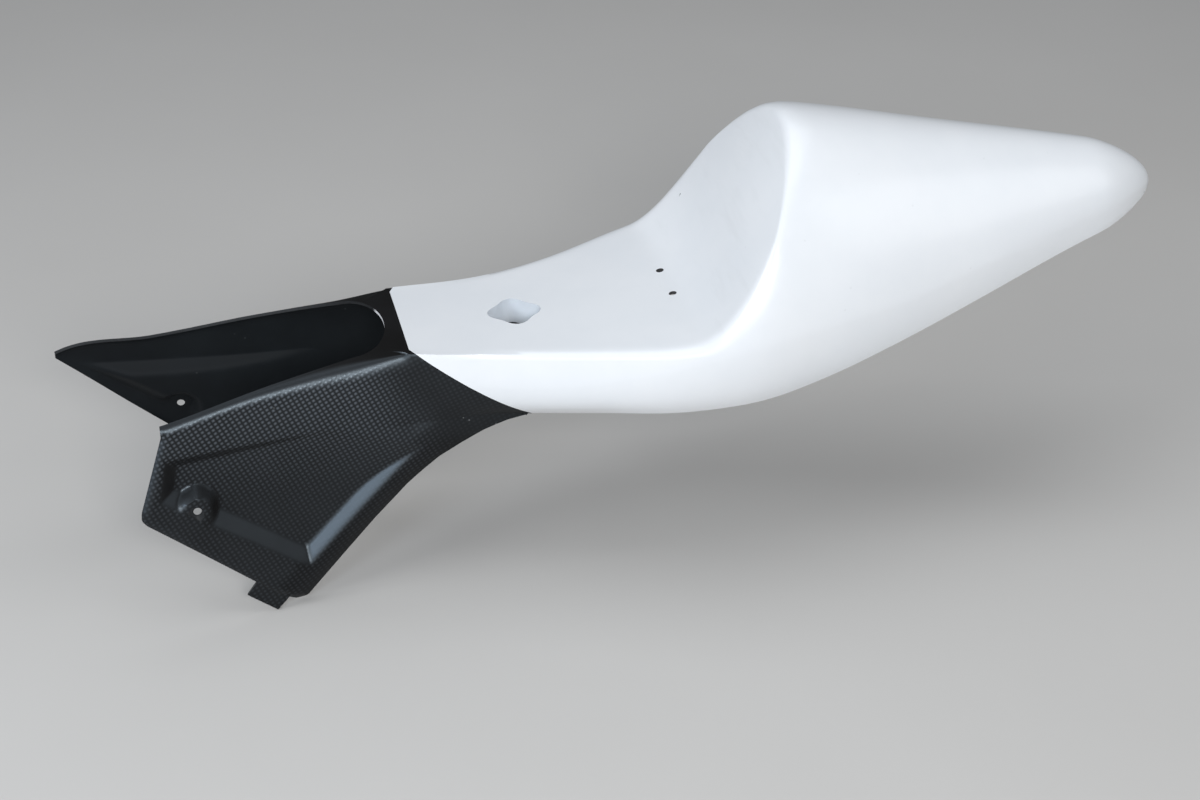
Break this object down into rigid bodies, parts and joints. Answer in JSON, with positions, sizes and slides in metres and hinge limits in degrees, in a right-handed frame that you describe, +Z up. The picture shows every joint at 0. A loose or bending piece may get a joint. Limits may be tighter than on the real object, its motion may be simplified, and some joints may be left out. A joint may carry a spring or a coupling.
{
  "type": "motorcycle tail fairing",
  "caption": "White single-seat tail shell of a motorbike with a black saddle-shaped front yoke, whose wings reach forward and down.",
  "frame": {"origin": "on the seat surface, midway between the two screw holes", "axes": "+Z up, -Y the front of the vehicle, +X its left side"},
  "size_m": [0.258, 0.9435, 0.3649],
  "materials": {
    "white_gel_coat": "gloss",
    "black_laminate": "satin"
  },
  "bodies": {
    "root": {"seat_shell": "white_gel_coat", "front_yoke": "black_laminate"}
  },
  "joints": []
}
